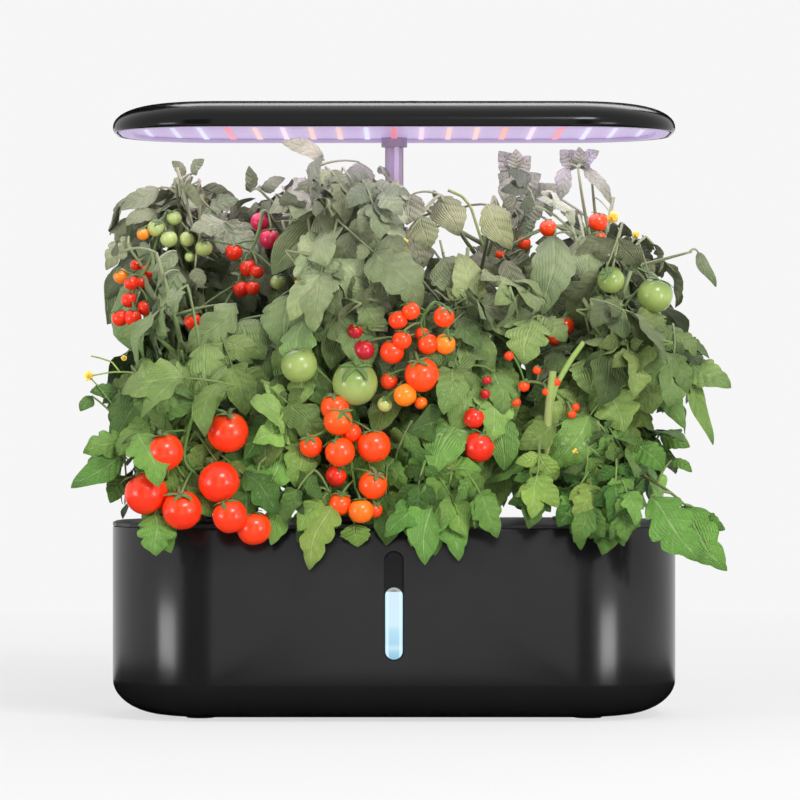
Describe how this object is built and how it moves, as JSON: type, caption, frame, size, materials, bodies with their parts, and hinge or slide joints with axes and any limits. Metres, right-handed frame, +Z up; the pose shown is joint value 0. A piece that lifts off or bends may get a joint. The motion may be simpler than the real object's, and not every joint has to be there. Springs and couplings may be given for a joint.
{
  "type": "countertop hydroponic garden",
  "caption": "Rounded black water tank with a planted deck, cherry tomato plants, a water gauge and a grow lamp on a telescopic post.",
  "frame": {"origin": "on the counter under the middle of the tank, at the underside of the feet", "axes": "+X to the right along the tank's length, +Y to the back where the post stands, +Z up; the gauge faces -Y"},
  "size_m": [0.4236, 0.2524, 0.4038],
  "materials": {
    "shell_black": "satin black moulded plastic",
    "gloss_black": "polished black moulded plastic",
    "deck_black": "fine-textured black plastic",
    "basket_black": "plain black moulded plastic",
    "rubber_black": "soft black rubber",
    "bezel_grey": "smooth grey plastic",
    "board_lilac": "white light board under a lilac glow",
    "circuit_green": "coated circuit board",
    "post_steel": "polished tube",
    "water_blue": "frosted window, lit pale blue from behind",
    "float_white": "plain white plastic",
    "foam_brown": "damp open-cell foam",
    "leaf_green": "living tomato leaf, dull green with paler veins",
    "fruit_red": "ripe tomato skin, glossy"
  },
  "bodies": {
    "planter": {"tank": "shell_black", "post_base": "shell_black", "gauge_trim": "gloss_black", "dc_jack": "gloss_black", "float_guide": "deck_black", "deck": "deck_black", "pump_body": "deck_black", "pump_cover": "basket_black", "pump_lead": "rubber_black", "gauge_window": "water_blue", "pump_riser": "float_white", "filler_hinge_pin": "post_steel", "post_lower_tube": "post_steel", "foot_1": "rubber_black", "foot_2": "rubber_black", "foot_3": "rubber_black", "foot_4": "rubber_black", "basket_1": "basket_black", "grow_plug_1": "foam_brown", "plant_1": "leaf_green", "basket_2": "basket_black", "grow_plug_2": "foam_brown", "plant_2": "leaf_green", "basket_3": "basket_black", "grow_plug_3": "foam_brown", "plant_3": "leaf_green", "basket_4": "basket_black", "grow_plug_4": "foam_brown", "plant_4": "leaf_green", "basket_5": "basket_black", "grow_plug_5": "foam_brown", "plant_5": "leaf_green", "basket_6": "basket_black", "grow_plug_6": "foam_brown", "plant_6": "leaf_green", "basket_7": "basket_black", "grow_plug_7": "foam_brown", "plant_7": "leaf_green", "basket_8": "basket_black", "grow_plug_8": "foam_brown", "plant_8": "leaf_green", "truss_left_front": "fruit_red", "truss_left_back": "fruit_red", "truss_middle_left": "fruit_red", "truss_centre_upper": "fruit_red", "truss_centre_lower": "fruit_red", "truss_centre_right": "fruit_red", "truss_right_back": "fruit_red"},
    "post_middle": {"post_middle_tube": "post_steel"},
    "lamp": {"post_upper_tube": "post_steel", "lamp_hood": "gloss_black", "lamp_bezel": "bezel_grey", "led_panel": "board_lilac", "lamp_hub": "gloss_black", "control_board": "circuit_green"},
    "mode_key": {"mode_button": "bezel_grey"},
    "timer_key": {"timer_button": "bezel_grey"},
    "float": {"gauge_float": "float_white"},
    "impeller": {"pump_impeller": "float_white"},
    "cap": {"filler_cap": "deck_black"}
  },
  "joints": [
    {"name": "post_middle_slide", "type": "slide", "parent": "planter", "child": "post_middle", "axis": [0, 0, 1], "range_m": [0, 0.045]},
    {"name": "lamp_slide", "type": "slide", "parent": "post_middle", "child": "lamp", "axis": [0, 0, 1], "range_m": [0, 0.045]},
    {"name": "mode_press", "type": "slide", "parent": "lamp", "child": "mode_key", "axis": [0, 0, -1], "range_m": [0, 0.001], "stiffness_N_per_m": 300},
    {"name": "timer_press", "type": "slide", "parent": "lamp", "child": "timer_key", "axis": [0, 0, -1], "range_m": [0, 0.001], "stiffness_N_per_m": 300},
    {"name": "float_rise", "type": "slide", "parent": "planter", "child": "float", "axis": [0, 0, 1], "range_m": [0, 0.034]},
    {"name": "impeller_spin", "type": "hinge", "parent": "planter", "child": "impeller", "pos_m": [0, 0.021, 0.0196], "axis": [0, 1, 0], "continuous": true},
    {"name": "filler_hinge", "type": "hinge", "parent": "planter", "child": "cap", "pos_m": [0, -0.0265, 0.131], "axis": [-1, 0, 0], "range_deg": [0, 105]}
  ]
}
